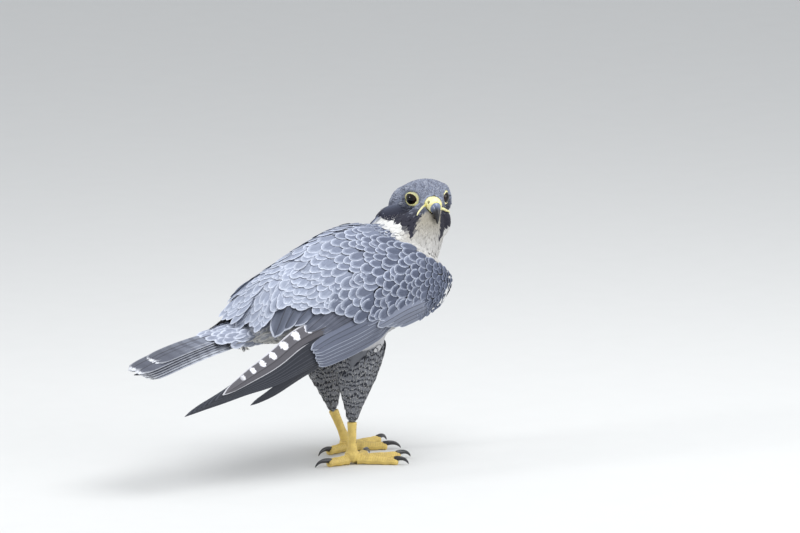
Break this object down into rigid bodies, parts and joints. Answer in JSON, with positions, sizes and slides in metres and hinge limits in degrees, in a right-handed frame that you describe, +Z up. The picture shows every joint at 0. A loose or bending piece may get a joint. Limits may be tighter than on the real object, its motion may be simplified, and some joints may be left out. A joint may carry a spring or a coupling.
{
  "type": "falcon model",
  "caption": "Life-size still model of a standing peregrine falcon, its body level and its head turned back over the right shoulder.",
  "frame": {"origin": "on the floor, under the middle of the model's bounding box", "axes": "+X the way the body faces, away from the tail; +Y the bird's left; +Z up"},
  "size_m": [0.3904, 0.1365, 0.2575],
  "materials": {
    "mantle": "blue-grey feathers with pale edges",
    "hood": "dark slate feathers",
    "breast": "cream-white feathers",
    "flight": "dark slate quills",
    "thigh": "grey-white feathers barred with slate",
    "cere": "soft yellow skin",
    "bill": "blue-grey horn, black at the tip",
    "skin": "yellow scaly skin",
    "claw": "black horn",
    "eye": "near-black and wet"
  },
  "bodies": {
    "root": {"bill_lower": "bill", "bill_upper": "bill", "cere": "cere", "claw_hind_left": "claw", "claw_hind_right": "claw", "claw_inner_left": "claw", "claw_inner_right": "claw", "claw_middle_left": "claw", "claw_middle_right": "claw", "claw_outer_left": "claw", "claw_outer_right": "claw", "eye_left": "eye", "eye_right": "eye", "foot_left": "skin", "foot_right": "skin", "head": "hood", "neck": "breast", "shank_left": "skin", "shank_right": "skin", "tail": "flight", "thigh_left": "thigh", "thigh_right": "thigh", "torso": "mantle", "wing_left": "flight", "wing_right": "flight"}
  },
  "joints": []
}
